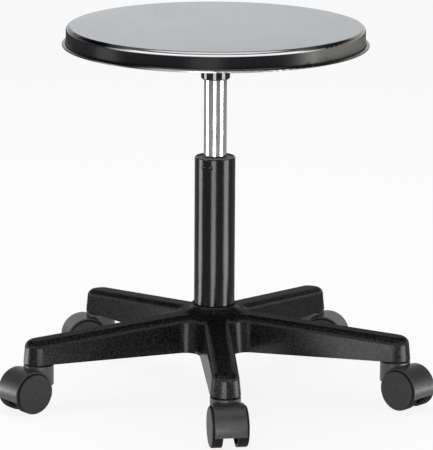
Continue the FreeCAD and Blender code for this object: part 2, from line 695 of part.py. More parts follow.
taper_socket = keep(turned("taper_socket", [
    (cylinder_radius + press_gap, socket_bottom),
    (socket_radius - socket_chamfer, socket_bottom),
    (socket_radius, socket_bottom + socket_chamfer),
    (socket_radius, cylinder_top),
    (cylinder_radius + press_gap - taper_drop, cylinder_top),
    (cylinder_radius + press_gap, cylinder_taper_start),
]))
crimp_mouth = cylinder_bore - cylinder_crimp
gas_cylinder = keep(turned("gas_cylinder", [
    (crimp_mouth, cylinder_bottom),
    (cylinder_radius - cylinder_crimp, cylinder_bottom, cylinder_crimp, "left"),
    (cylinder_radius, cylinder_bottom + cylinder_crimp),
    (cylinder_radius, cylinder_taper_start),
    (cylinder_radius - taper_drop, cylinder_top),
    (crimp_mouth - taper_drop, cylinder_top),
    (crimp_mouth - taper_drop, block_top),
    (cylinder_bore - taper_drop, block_top),
    (cylinder_bore - taper_drop, cylinder_taper_start),
    (cylinder_bore, cylinder_taper_start - taper_drop),
    (cylinder_bore, gland_bottom),
    (crimp_mouth, gland_bottom),
]))
cavity_top = block_top - cavity_roof
cavity_bottom = cavity_top - pin_collar_height - pin_press - cavity_spare
pin_collar_radius = pin_radius + pin_collar
cavity_radius = pin_collar_radius + running_gap * 2
valve_block = keep(turned("valve_block", [
    (pin_stem_radius + running_gap, block_bottom),
    (block_radius - press_gap, block_bottom),
    (block_radius - press_gap, block_top),
    (pin_radius + running_gap, block_top),
    (pin_radius + running_gap, cavity_top),
    (cavity_radius, cavity_top),
    (cavity_radius, cavity_bottom),
    (pin_stem_radius + running_gap, cavity_bottom),
]))
pressure_tube = keep(ring(
    "pressure_tube", pressure_radius - pressure_wall, pressure_radius, seal_top, block_bottom,
))
cylinder_gland = keep(ring(
    "cylinder_gland", rod_radius + running_gap, cylinder_bore - press_gap,
    gland_bottom, seal_bottom,
))
gland_seal = keep(ring(
    "gland_seal", rod_radius + running_gap, pressure_radius, seal_bottom, seal_top,
))
pin_collar_bottom = cavity_top - running_gap - pin_collar_height
pin_tip = block_bottom + pin_press + cavity_spare
pin_round = pin_radius / 2
valve_pin = keep(turned("valve_pin", [
    (0, pin_tip),
    (pin_stem_radius, pin_tip),
    (pin_stem_radius, pin_collar_bottom),
    (pin_collar_radius, pin_collar_bottom),
    (pin_collar_radius, pin_collar_bottom + pin_collar_height),
    (pin_radius, pin_collar_bottom + pin_collar_height),
    (pin_radius, pin_top - pin_round, pin_round, "left"),
    (pin_radius - pin_round, pin_top),
    (0, pin_top),
]))


# Lever: a bent steel rod that turns on a cross pin and presses the valve pin with its tongue

lever_pin = keep(new_body("lever_pin"))
pin_profile = new_sketch(lever_pin, "XY_Plane", "profile")
head_side = half_box + pivot_head
head_radius = pivot_radius + pivot_head_rim
draw(pin_profile, [
    (0, -head_side), (head_radius, -head_side), (head_radius, -half_box),
    (pivot_radius, -half_box), (pivot_radius, half_box), (head_radius, half_box),
    (head_radius, head_side), (0, head_side),
])
turn(lever_pin, pin_profile)
lever_pin.Placement.Rotation = FreeCAD.Rotation(FreeCAD.Vector(0, 0, 1), -90)
tie_place(lever_pin, y=lever_arm, z=lever_height)

lever_bush = keep(new_body("lever_bush"))
bush_profile = new_sketch(lever_bush, "XY_Plane", "profile")
half_bush = half_box - box_wall - lever_bush_play
draw(bush_profile, [
    (pivot_radius + running_gap, -half_bush), (lever_bush_radius, -half_bush),
    (lever_bush_radius, half_bush), (pivot_radius + running_gap, half_bush),
])
turn(lever_bush, bush_profile)
lever_bush.Placement.Rotation = FreeCAD.Rotation(FreeCAD.Vector(0, 0, 1), -90)
tie_place(lever_bush, y=lever_arm, z=lever_height)


def rounded_path(points, radius):
    """Straight runs through points in the YZ plane, joined by tangent arcs."""
    edges = []
    start = points[0]
    for before, corner, after in zip(points, points[1:], points[2:]):
        inward = (before - corner).normalize()
        outward = (after - corner).normalize()
        half_turn = (math.pi - inward.getAngle(outward)) / 2
        setback = radius * math.tan(half_turn)
        arc_start = corner + inward * setback
        arc_end = corner + outward * setback
        bisector = (inward + outward).normalize()
        arc_middle = corner + bisector * (radius / math.cos(half_turn) - radius)
        edges.append(Part.LineSegment(start, arc_start).toShape())
        edges.append(Part.Arc(arc_start, arc_middle, arc_end).toShape())
        start = arc_end
    edges.append(Part.LineSegment(start, points[-1]).toShape())
    return Part.Wire(edges)


def lever_shape():
    """The lever's rod swept along its bends, with its tongue pressed flat, holed for the bush."""
    height = lever_height.number
    low = lever_low.number
    slope_start = (box_back + lever_level).number
    tongue_start = -tongue_past.number
    tongue_end = tongue_start + tongue_length.number
    route = [
        FreeCAD.Vector(0, tongue_end - lever_radius.number / 2, height),
        FreeCAD.Vector(0, slope_start, height),
        FreeCAD.Vector(0, slope_start + height - low, low),
        FreeCAD.Vector(0, lever_reach.number, low),
    ]
    circle = Part.Circle(route[0], FreeCAD.Vector(0, 1, 0), lever_radius.number)
    section = Part.Face(Part.Wire(circle.toShape()))
    rod = rounded_path(route, lever_bend.number).makePipe(section)
    corner = FreeCAD.Vector(
        -tongue_width.number / 2, tongue_start, height - tongue_height.number / 2,
    )
    flat = Part.makeBox(tongue_width.number, tongue_length.number, tongue_height.number, corner)
    front_edges = [
        edge for edge in flat.Edges
        if edge.BoundBox.YMax < tongue_start + tongue_corner.number
        and edge.BoundBox.ZLength > edge.BoundBox.XLength
    ]
    flat = flat.makeFillet(tongue_corner.number, front_edges)

    def across(radius, length):
        start = FreeCAD.Vector(-length / 2, lever_arm.number, height)
        return Part.makeCylinder(radius, length, start, FreeCAD.Vector(1, 0, 0))

    eye = across(lever_eye_radius.number, lever_eye_width.number)
    hole = across((lever_bush_radius + press_gap).number, box_length.number)
    return rod.fuse([flat, eye]).cut(hole).removeSplitter()


lever_rod = doc.addObject("Part::Feature", "lever_rod")
lever_rod.Label = "lever_rod"
lever_rod.Shape = lever_shape()
keep(lever_rod)

lever_grip = keep(new_body("lever_grip"))
paddle = new_sketch(lever_grip, "XY_Plane", "paddle", -grip_height / 2)
draw_rounded_box(
    paddle, -grip_width / 2, grip_width / 2, -grip_length / 2, grip_length / 2, grip_corner,
)
grip_pad = pad(lever_grip, paddle, grip_height)
doc.recompute()
broad_faces = [
    f"Face{number + 1}" for number, face in enumerate(grip_pad.Shape.Faces)
    if face.BoundBox.ZLength < free_gap.number
]
grip_round = lever_grip.newObject("PartDesign::Fillet", "lever_grip_round")
grip_round.Base = (grip_pad, broad_faces)
grip_round.setExpression("Radius", grip_edge.formula)
grip_bore = new_sketch(lever_grip, "XZ_Plane", "bore", grip_length / 2)
draw_circle(grip_bore, 0, 0, lever_radius + press_gap)
pocket(lever_grip, grip_bore, grip_length - grip_end)
tie_place(
    lever_grip, y=lever_reach + grip_end - grip_length / 2, z=lever_low,
)


# Piston, rod and what the rod carries

clip_top = tube_bottom - running_gap
clip_bottom = clip_top - clip_height
clip_groove = rod_neck - clip_groove_depth
rod_tip = clip_bottom - rod_tail
piston_rod = keep(turned("piston_rod", [
    (0, rod_tip), (rod_neck - rod_chamfer, rod_tip), (rod_neck, rod_tip + rod_chamfer),
    (rod_neck, clip_bottom), (clip_groove, clip_bottom), (clip_groove, clip_top),
    (rod_neck, clip_top), (rod_neck, rod_shoulder), (rod_radius, rod_shoulder),
    (rod_radius, piston_bottom), (rod_neck, piston_bottom), (rod_neck, piston_top),
    (rod_radius, piston_top), (rod_radius, piston_top + rod_step),
    (0, piston_top + rod_step),
]))
piston_radius = pressure_radius - pressure_wall - running_gap
ring_bottom = piston_bottom + (piston_height - ring_height) / 2
ring_inner = piston_radius - ring_depth
piston = keep(turned("piston", [
    (rod_neck + press_gap, piston_bottom), (piston_radius, piston_bottom),
    (piston_radius, ring_bottom), (ring_inner, ring_bottom),
    (ring_inner, ring_bottom + ring_height), (piston_radius, ring_bottom + ring_height),
    (piston_radius, piston_top), (rod_neck + press_gap, piston_top),
]))
piston_ring = keep(ring(
    "piston_ring", ring_inner, piston_radius, ring_bottom, ring_bottom + ring_height,
))
buffer_middle = rod_shoulder + buffer_height / 2
rubber_buffer = keep(turned("rubber_buffer", [
    (rod_radius + press_gap, rod_shoulder),
    (buffer_radius, rod_shoulder),
    (buffer_radius, buffer_middle - waist_height / 2),
    (buffer_radius - waist_depth, buffer_middle),
    (buffer_radius, buffer_middle + waist_height / 2),
    (buffer_radius, rod_shoulder + buffer_height),
    (rod_radius + press_gap, rod_shoulder + buffer_height),
]))
thrust_washer_upper = keep(ring(
    "thrust_washer_upper", rod_neck + press_gap, thrust_washer_radius,
    upper_washer_bottom, rod_shoulder,
))
retaining_clip = keep(new_body("retaining_clip"))
clip_outline = new_sketch(retaining_clip, "XY_Plane", "outline", clip_bottom)
draw_circle(clip_outline, 0, 0, clip_groove + clip_rim)
draw_circle(clip_outline, 0, 0, clip_groove + press_gap)
pad(retaining_clip, clip_outline, clip_height)
clip_mouth = new_sketch(retaining_clip, "XY_Plane", "mouth", clip_bottom)
draw_box(
    clip_mouth, -clip_mouth_width / 2, clip_mouth_width / 2, -clip_groove - clip_rim * 2, 0,
)
pocket(retaining_clip, clip_mouth, clip_height, back=True)


# Outer tube, staked over the guide bush, with its end disc and the lower thrust race

taper_start = hub_top - collar_lead
plain_tube = turned("plain_tube", [
    (tube_bore - tube_taper, tube_bottom),
    (tube_radius - tube_taper, tube_bottom),
    (tube_radius, taper_start),
    (tube_radius, tube_top - tube_rim),
    (tube_radius - tube_rim, tube_top),
    (tube_bore, tube_top),
    (tube_bore, taper_start),
])
stake_balls = []
for ball_name, stake_angle in (("stake_a", stake_angle_a), ("stake_b", stake_angle_b)):
    ball = doc.addObject("Part::Sphere", ball_name)
    ball.setExpression("Radius", stake_radius.formula)
    stake_reach = tube_radius + stake_radius - stake_depth
    tie_place(
        ball, stake_reach * cosine(stake_angle), stake_reach * sine(stake_angle),
        tube_top - stake_drop,
    )
    stake_balls.append(ball)
stakes = join("stakes", stake_balls)
outer_tube = doc.addObject("Part::Cut", "outer_tube")
outer_tube.Label = "outer_tube"
outer_tube.Base = plain_tube
outer_tube.Tool = stakes
keep(outer_tube)

guide_bush = keep(ring(
    "guide_bush", cylinder_radius + running_gap, tube_bore - press_gap,
    tube_top - bush_recess - bush_height, tube_top - bush_recess,
))
tube_base_disc = keep(ring(
    "tube_base_disc", rod_neck + running_gap, lower_bore - press_gap, tube_bottom, disc_top,
))
thrust_washer_lower = keep(ring(
    "thrust_washer_lower", rod_neck + running_gap, thrust_washer_radius,
    disc_top, lower_washer_top,
))
ball_count = int(2 * math.pi * ball_circle.number / (ball_radius * 2 + ball_space).number)
thrust_ball = []
for number in range(ball_count):
    ball = doc.addObject("Part::Sphere", f"thrust_ball_{number + 1}")
    ball.setExpression("Radius", ball_radius.formula)
    ball_angle = as_size(360 * number / ball_count)
    tie_place(
        ball, ball_circle * cosine(ball_angle), ball_circle * sine(ball_angle),
        lower_washer_top + ball_radius,
    )
    thrust_ball.append(ball)
thrust_balls = keep(join("thrust_balls", thrust_ball))


# Star base: five hollow arms moulded in one with the hub

def draw_star(sketch, inset):
    """The base's outline at its underside, moved inwards by an inset."""
    tip = arm_tip_radius - inset
    fillet = web_fillet + inset
    lean = angle_of(arm_root_width - arm_tip_radius, arm_reach - arm_root_reach)
    offset = arm_reach * sine(lean) + tip
    half_step = as_size(180 / arm_count)
    centre_reach = (offset + fillet) / sine(half_step + lean)
    root_x = centre_reach * cosine(half_step) - fillet * sine(lean)
    root_y = centre_reach * sine(half_step) - fillet * cosine(lean)
    tip_x = arm_reach + tip * sine(lean)
    tip_y = tip * cosine(lean)
    corners = []
    for arm in range(arm_count):
        angle = first_arm_angle + 360 / arm_count * arm
        corners += [
            spun(root_x, -root_y, angle),
            spun(tip_x, -tip_y, angle) + (tip, "left"),
            spun(arm_reach + tip, as_size(0), angle) + (tip, "left"),
            spun(tip_x, tip_y, angle),
            spun(root_x, root_y, angle) + (fillet, "right"),
        ]
    draw(sketch, corners)


sweep_end = collar_radius + collar_sweep
sweep_square = collar_sweep * collar_sweep + collar_rise * collar_rise
sweep_radius = sweep_square / collar_rise / 2
sweep_height = arm_root_top + sweep_radius


def arm_top_at(reach):
    """The height of the arms' tops at a distance from the column's axis."""
    return arm_root_top - arm_rise * (reach - sweep_end) / (arm_reach - sweep_end)


def draw_above_arms(sketch, lowered):
    """The region above the arms' tops, to be turned away, lowered by a wall."""
    sweep = sweep_radius + lowered
    start = sweep_height - root(sweep * sweep - collar_sweep * collar_sweep)
    far = arm_reach * 2
    draw(sketch, [
        (collar_radius, start, sweep, "left"), (sweep_end, arm_root_top - lowered),
        (far, arm_top_at(far) - lowered),
        (far, hub_top * 2), (collar_radius, hub_top * 2),
    ])


def base_blank(label, inset, lowered):
    """The base's outside, or the space inside its walls: drafted arms under a turned top."""
    body = new_body(label)
    outline = new_sketch(body, "XY_Plane", "outline", arm_underside)
    draw_star(outline, inset)
    pad(body, outline, hub_top - arm_underside, taper=-arm_draft)
    slope = new_sketch(body, "YZ_Plane", "slope")
    draw_above_arms(slope, lowered)
    turn(body, slope, kind="Groove")
    return body


def is_upper_edge(edge):
    """Whether an edge runs where an arm's side meets its top."""
    middle = edge.valueAt((edge.FirstParameter + edge.LastParameter) / 2)
    reach = as_size(math.hypot(middle.x, middle.y))
    on_top = abs(middle.z - arm_top_at(reach).number) < press_gap.number
    return on_top and reach.number > (sweep_end + free_gap).number


star_outside = base_blank("star_outside", 0, 0)
doc.recompute()
blank = star_outside.Tip
upper_edges = [
    f"Edge{number + 1}" for number, edge in enumerate(blank.Shape.Edges) if is_upper_edge(edge)
]
star_round = star_outside.newObject("PartDesign::Fillet", "star_round")
star_round.Base = (blank, upper_edges)
star_round.setExpression("Radius", arm_edge.formula)

hub_taper = new_sketch(star_outside, "XZ_Plane", "hub_taper")
draw(hub_taper, [
    (0, tube_bottom), (hub_bore - tube_taper, tube_bottom),
    (hub_bore, taper_start), (hub_bore, hub_top * 2), (0, hub_top * 2),
])
turn(star_outside, hub_taper, kind="Groove")
stem_hole = new_sketch(star_outside, "XY_Plane", "stem_hole", arm_underside)
draw_circle(
    stem_hole, arm_reach * cosine(first_arm_angle), arm_reach * sine(first_arm_angle),
    stem_radius + press_gap,
)
first_hole = pocket(star_outside, stem_hole, socket_top - arm_underside, back=True)
pattern(star_outside, first_hole, "XY_Plane", arm_count)

star_core = base_blank("star_core", base_wall, base_wall)

# Inner ribs: the hub's socket, and in each arm a long rib, cross ribs and the caster socket

star_ribs = new_body("star_ribs")
rib_height = hub_top - arm_underside
socket_column = new_sketch(star_ribs, "XY_Plane", "socket_column", arm_underside)
draw_circle(socket_column, 0, 0, collar_radius + hub_wall)
pad(star_ribs, socket_column, rib_height)
long_rib = new_sketch(star_ribs, "XY_Plane", "long_rib", arm_underside)
half_rib = rib_thickness / 2
draw_box(long_rib, 0, arm_reach, -half_rib, half_rib)
pad(star_ribs, long_rib, rib_height)
for number in range(cross_rib_count):
    cross_rib = new_sketch(star_ribs, "XY_Plane", f"cross_rib_{number + 1}", arm_underside)
    rib_place = rib_start + rib_pitch * number
    draw_box(
        cross_rib, rib_place - half_rib, rib_place + half_rib,
        -arm_root_width, arm_root_width,
    )
    pad(star_ribs, cross_rib, rib_height)
stem_column = new_sketch(star_ribs, "XY_Plane", "stem_column", arm_underside)
draw_circle(stem_column, arm_reach, 0, stem_radius + stem_socket_wall)
last_rib = pad(star_ribs, stem_column, rib_height)
all_arms = pattern(star_ribs, last_rib, "XY_Plane", arm_count)
all_arms.TransformMode = "Whole shape"
star_ribs.setExpression("Placement.Rotation.Angle", first_arm_angle.formula)

star_space = doc.addObject("Part::Cut", "star_space")
star_space.Base = star_core
star_space.Tool = star_ribs
star_base = doc.addObject("Part::Cut", "star_base")
star_base.Label = "star_base"
star_base.Base = star_outside
star_base.Tool = star_space
keep(star_base)


# Casters: each a stem gripped in its arm, and a hood that swivels on it with two wheels

groove_high = stem_top - grip_ring_drop
groove_low = groove_high - grip_ring_height
groove_radius = stem_radius - grip_ring_depth
flange_radius = stem_radius + stem_flange


def stem_place(arm):
    """Where an arm's caster stem stands on the floor plan."""
    return spun(arm_reach, as_size(0), first_arm_angle + 360 / arm_count * arm)


def caster_stem(label, arm):
    body = turned(label, [
        (0, neck_top - stem_foot),
        (stem_foot_radius - stem_chamfer, neck_top - stem_foot),
        (stem_foot_radius, neck_top - stem_foot + stem_chamfer),
        (stem_foot_radius, flange_bottom), (flange_radius, flange_bottom),
        (flange_radius, arm_underside), (stem_radius, arm_underside),
        (stem_radius, groove_low), (groove_radius, groove_low),
        (groove_radius, groove_high), (stem_radius, groove_high),
        (stem_radius, stem_top - stem_chamfer), (stem_radius - stem_chamfer, stem_top),
        (0, stem_top),
    ])
    tie_place(body, *stem_place(arm))
    return keep(body)


def grip_ring(label, arm):
    body = new_body(label)
    outline = new_sketch(body, "XY_Plane", "outline", groove_low)
    draw_circle(outline, 0, 0, stem_radius)
    draw_circle(outline, 0, 0, groove_radius)
    pad(body, outline, grip_ring_height)
    split = new_sketch(body, "XY_Plane", "split", groove_low)
    draw_box(split, 0, stem_radius * 2, -grip_ring_split / 2, grip_ring_split / 2)
    pocket(body, split, grip_ring_height, back=True)
    tie_place(body, *stem_place(arm))
    return body


def turn_to(piece, angle):
    """Face a piece's X axis along a direction on the floor plan."""
    piece.setExpression("Placement.Rotation.Angle", as_size(angle).formula)


def at_axle(piece, arm, direction, extra=0):
    """Place a piece made round the axle's middle on its caster, X along the trail."""
    stem_x, stem_y = stem_place(arm)
    tie_place(
        piece, stem_x + trail * cosine(direction), stem_y + trail * sine(direction),
        wheel_radius,
    )
    turn_to(piece, direction + extra)


def caster_hood(label, arm, direction):
    """Hood, neck and middle web in one moulding, with room for the wheels cut out of it."""
    body = new_body(label)
    high = neck_top - wheel_radius
    neck = new_sketch(body, "XY_Plane", "neck", neck_low)
    draw_circle(neck, -trail, 0, neck_radius)
    neck_pad = pad(body, neck, high - neck_low)
    doc.recompute()
    top_edges = [
        f"Edge{number + 1}" for number, edge in enumerate(neck_pad.Shape.Edges)
        if edge.BoundBox.ZMin > high.number - neck_edge.number
    ]
    rounded = body.newObject("PartDesign::Chamfer", f"{label}_neck_edge")
    rounded.Base = (neck_pad, top_edges)
    rounded.setExpression("Size", neck_edge.formula)
    bevel = new_sketch(body, "XZ_Plane", "bevel")
    outside = -trail - neck_radius
    draw(bevel, [
        (outside * 2, neck_low), (outside + bevel_reach, neck_low),
        (outside + knee_reach, neck_low + knee_rise), (outside, neck_low + bevel_rise),
        (outside * 2, neck_low + bevel_rise),
    ])
    pocket(body, bevel, neck_radius * 3, side="Symmetric")
    round_hood = new_sketch(body, "XY_Plane", "round_hood")
    draw(round_hood, [
        (0, -hood_half), (hood_radius - hood_edge, -hood_half, hood_edge, "left"),
        (hood_radius, hood_edge - hood_half),
        (hood_radius, hood_half - hood_edge, hood_edge, "left"),
        (hood_radius - hood_edge, hood_half), (0, hood_half),
    ])
    turn(body, round_hood)
    for side, back in (("left", True), ("right", False)):
        sign = 1 if side == "left" else -1
        room = new_sketch(body, "XZ_Plane", f"wheel_room_{side}", web_half * -sign)
        draw_circle(room, 0, 0, wheel_radius + hood_gap)
        pocket(body, room, neck_radius * 2, back=not back)
    floor_cut = new_sketch(body, "XY_Plane", "floor_cut", hood_bottom - wheel_radius)
    draw_box(floor_cut, -hood_radius * 2, hood_radius * 2, -hood_half * 2, hood_half * 2)
    pocket(body, floor_cut, wheel_radius)
    core = new_sketch(body, "XY_Plane", "core", hood_bottom - wheel_radius)
    draw_box(core, core_start, hood_radius - core_wall, -core_half, core_half)
    pocket(body, core, hood_drop + core_rise, back=True)
    axle_hole = new_sketch(body, "XZ_Plane", "axle_hole")
    draw_circle(axle_hole, 0, 0, axle_radius + press_gap)
    pocket(body, axle_hole, web_half * 4, side="Symmetric")
    stem_bore = new_sketch(body, "XY_Plane", "stem_bore", high)
    draw_circle(stem_bore, -trail, 0, stem_foot_radius + running_gap)
    pocket(body, stem_bore, stem_foot + free_gap)
    at_axle(body, arm, direction)
    return keep(body)


def wheel(label, arm, direction, extra):
    """A hollow moulded wheel: face, rim, boss and spokes, its face away from the web."""
    body = new_body(label)
    profile = new_sketch(body, "XY_Plane", "profile")
    bore = axle_radius + running_gap
    boss = bore + wheel_boss
    boss_end = web_half + wheel_play
    inside = wheel_outer - wheel_face
    crown = wheel_outer + wheel_dome
    face_edge = wheel_radius - wheel_edge
    dome_radius = (face_edge * face_edge + wheel_dome * wheel_dome) / wheel_dome / 2
    draw(profile, [
        (0, inside + wheel_dome), (bore, inside + wheel_dome), (bore, boss_end),
        (boss, boss_end), (boss, inside),
        (wheel_radius - wheel_rim, inside), (wheel_radius - wheel_rim, wheel_inner),
        (wheel_radius, wheel_inner), (wheel_radius, wheel_outer - wheel_edge, wheel_edge, "left"),
        (face_edge, wheel_outer, dome_radius, "left"), (0, crown),
    ])
    turn(body, profile)
    spoke = new_sketch(body, "XZ_Plane", "spoke", -inside)
    draw_box(
        spoke, (boss + bore) / 2, wheel_radius - wheel_rim / 2,
        -spoke_thickness / 2, spoke_thickness / 2,
    )
    first_spoke = pad(body, spoke, spoke_depth)
    pattern(body, first_spoke, "XZ_Plane", spoke_count)
    at_axle(body, arm, direction, extra)
    return keep(body)


grip_ring_parts = []
for arm, (name, direction) in enumerate(casters):
    caster_stem(f"caster_stem_{name}", arm)
    grip_ring_parts.append(grip_ring(f"grip_ring_{name}", arm))
    caster_hood(f"caster_hood_{name}", arm, direction)
    half_axle = wheel_outer - wheel_face - free_gap
    axle = keep(turned(f"wheel_axle_{name}", [
        (0, -half_axle), (axle_radius, -half_axle), (axle_radius, half_axle), (0, half_axle),
    ], plane="XY_Plane"))
    at_axle(axle, arm, direction)
    wheel(f"wheel_{name}_a", arm, direction, 0)
    wheel(f"wheel_{name}_b", arm, direction, 180)
grip_rings = keep(join("grip_rings", grip_ring_parts))


# Every object has to be sound before any piece is written

smallest_face = 1e-6
doc.recompute()
for item in doc.Objects:
    if "Invalid" in item.State or "Error" in item.State:
        raise RuntimeError(f"{item.Label} did not rebuild: {item.State}")
for piece in kept:
    if piece.Shape.isNull() or not piece.Shape.isValid():
        raise RuntimeError(f"{piece.Label} has no valid shape")
    if min(face.Area for face in piece.Shape.Faces) < smallest_face:
        raise RuntimeError(f"{piece.Label} has a face with no area")

os.makedirs("parts", exist_ok=True)
for piece in kept:
    piece.Shape.exportStep(f"parts/{piece.Label}.step")
print(len(kept), "pieces written")
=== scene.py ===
import json
from math import pi, radians, tan

import bmesh
import bpy
from mathutils import Matrix, Vector


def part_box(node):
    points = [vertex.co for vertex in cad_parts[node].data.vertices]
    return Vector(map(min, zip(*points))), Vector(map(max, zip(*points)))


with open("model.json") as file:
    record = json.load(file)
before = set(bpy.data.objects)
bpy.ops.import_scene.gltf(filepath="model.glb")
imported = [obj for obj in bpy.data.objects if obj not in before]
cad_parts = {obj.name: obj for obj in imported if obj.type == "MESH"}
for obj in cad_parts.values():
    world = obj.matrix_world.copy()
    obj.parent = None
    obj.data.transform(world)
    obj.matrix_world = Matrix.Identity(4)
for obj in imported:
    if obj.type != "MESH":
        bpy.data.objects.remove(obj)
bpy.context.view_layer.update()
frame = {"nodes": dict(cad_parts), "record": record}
scene = bpy.context.scene
scene.view_settings.view_transform = "Standard"


# Camera: a long lens in front of the stool and above its seat, looking a little down.
# The picture is 433 by 450, so the sensor's width lies along its height.

camera_place = Vector((0.0022344, -4.6, 1.2621404))
camera_pitch = 12.8677
camera_roll = 0.348
focal_pixels = 3832.28
picture_height = 450

camera = bpy.data.objects.new("camera", bpy.data.cameras.new("camera"))
camera.data.sensor_width = 36
camera.data.lens = focal_pixels * camera.data.sensor_width / picture_height
camera.data.clip_end = 60
camera.matrix_world = (
    Matrix.Translation(camera_place)
    @ Matrix.Rotation(radians(90 - camera_pitch), 4, "X")
    @ Matrix.Rotation(radians(camera_roll), 4, "Z")
)
scene.collection.objects.link(camera)
scene.camera = camera


# Studio floor: one pale sheet that runs out past the view and keeps a soft shadow
# under the casters. The camera sees it white. A reflection sees it white near the
# stool and darker further out, which draws the dark lines on the column.

class Signal:
    """A number or colour inside a finish. A sum on it adds a Math node."""

    def __init__(self, finish, socket):
        self.finish = finish
        self.socket = socket

    def maths(self, operation, *values):
        return self.finish.node("Math", {"operation": operation}, *values)

    def __add__(self, other):
        return self.maths("ADD", self, other)

    def __sub__(self, other):
        return self.maths("SUBTRACT", self, other)

    def __rsub__(self, other):
        return self.maths("SUBTRACT", other, self)

    def __mul__(self, other):
        return self.maths("MULTIPLY", self, other)

    def __truediv__(self, other):
        return self.maths("DIVIDE", self, other)

    def __abs__(self):
        return self.maths("ABSOLUTE", self)

    __radd__ = __add__
    __rmul__ = __mul__


class Finish:
    """A finish of the stool or the studio: a material, or the sky, and its nodes."""

    def __init__(self, owner, **constants):
        if isinstance(owner, str):
            owner = bpy.data.materials.new(owner)
        owner.use_nodes = True
        self.material = owner
        self.tree = owner.node_tree
        self.shader = self.tree.nodes.get("Principled BSDF")
        for name, value in constants.items():
            self.shader.inputs[name.replace("_", " ")].default_value = value

    def node(self, kind, settings=None, *values, output=None, **named):
        """Add a node: its settings, its sockets in order or by name, and its output."""
        made = self.tree.nodes.new("ShaderNode" + kind)
        settings = dict(settings or {})
        stops = settings.pop("stops", [])
        for name, value in settings.items():
            setattr(made, name, value)
        for place, _ in stops[2:]:
            made.color_ramp.elements.new(place)
        for number, (place, level) in enumerate(stops):
            made.color_ramp.elements[number].position = place
            made.color_ramp.elements[number].color = (level, level, level, 1)
        sockets = [socket for socket in made.inputs if socket.enabled]
        for socket, value in zip(sockets, values):
            self.feed(socket, value)
        for name, value in named.items():
            self.feed(made.inputs[name.replace("_", " ")], value)
        outputs = [socket for socket in made.outputs if socket.enabled]
        return Signal(self, made.outputs[output] if output else outputs[0])

    def feed(self, socket, value):
        """Set a socket to a number or colour, or link a signal to it."""
        if isinstance(value, Signal):
            self.tree.links.new(value.socket, socket)
        elif hasattr(value, "__len__") and len(value) == 3 and socket.type == "RGBA":
            socket.default_value = (*value, 1)
        else:
            socket.default_value = value

    def set(self, **sockets):
        """Feed the shader's sockets."""
        for name, value in sockets.items():
            self.feed(self.shader.inputs[name.replace("_", " ")], value)

    def mix(self, factor, first, second):
        """The first colour where the factor is 0, the second where it is 1."""
        return self.node("Mix", {"data_type": "RGBA"}, factor, first, second)

    def smooth(self, value, low, high):
        """0 below the low value, 1 above the high one, and a soft step between."""
        return self.node(
            "MapRange", {"interpolation_type": "SMOOTHSTEP"}, value, low, high, 0.0, 1.0
        )

    def place(self):
        """The point's place on the stool, in metres."""
        return self.node("TexCoord", output="Object")

    def coordinates(self):
        """The same place as three numbers."""
        split = self.node("SeparateXYZ", None, self.place()).socket.node
        return [Signal(self, socket) for socket in split.outputs]

    def noise(self, scale, detail=2.0, roughness=0.5):
        """Cloudy noise from 0 to 1, so many patches to the metre."""
        return self.node(
            "TexNoise", None, Vector=self.place(),
            Scale=scale, Detail=detail, Roughness=roughness, output="Fac",
        )

    def bump(self, height, strength, distance):
        """Press the height into the surface, in metres."""
        pressed = self.node("Bump", None, Height=height, Strength=strength, Distance=distance)
        self.set(Normal=pressed)


def rays(finish, *kinds):
    """1 for the rays of the kinds named, such as Camera, and 0 for the others."""
    path = finish.node("LightPath").socket.node.outputs
    first, *others = [Signal(finish, path[f"Is {kind} Ray"]) for kind in kinds]
    for other in others:
        first = first.maths("MAXIMUM", first, other)
    return first


floor_half = 12
floor_white = 0.88  # share of its light that is plain white
floor_rings = (  # metres out from the stool, and how white a reflection sees it there
    (0.30, 1.0),
    (0.55, 0.22),
    (2.05, 0.30),
    (2.15, 0.05),
)
paper_grey = 0.9
paper_rough = 0.9

floor_sheet = bmesh.new()
bmesh.ops.create_grid(floor_sheet, x_segments=1, y_segments=1, size=floor_half)
floor_mesh = bpy.data.meshes.new("studio_floor")
floor_sheet.to_mesh(floor_mesh)
floor_sheet.free()
floor = bpy.data.objects.new("studio_floor", floor_mesh)
scene.collection.objects.link(floor)

paper = Finish(
    "white_paper", Base_Color=(paper_grey, paper_grey, paper_grey, 1),
    Roughness=paper_rough, Specular_IOR_Level=0.0,
)
out_from_stool = paper.node("VectorMath", {"operation": "LENGTH"}, paper.place(), output="Value")
ring_stops = [(metres / floor_half, level) for metres, level in floor_rings]
rings = paper.node("ValToRGB", {"stops": ring_stops}, out_from_stool / floor_half)
reflected = paper.mix(rays(paper, "Glossy"), (1, 1, 1), rings)
paper_white = paper.node("Emission", None, reflected, 1.0)
paper_mix = paper.node(
    "MixShader", None, rays(paper, "Camera", "Glossy", "Transmission") * floor_white,
    Signal(paper, paper.shader.outputs[0]), paper_white,
)
paper.feed(paper.tree.nodes["Material Output"].inputs["Surface"], paper_mix)
floor.data.materials.append(paper.material)


# Studio light: a plain sky, a soft box overhead, and three low strips on the floor,
# which draw the bright lines on the column. Reflections see a white horizon under a
# dark ceiling with a light in its middle, which draws the seat's edge.

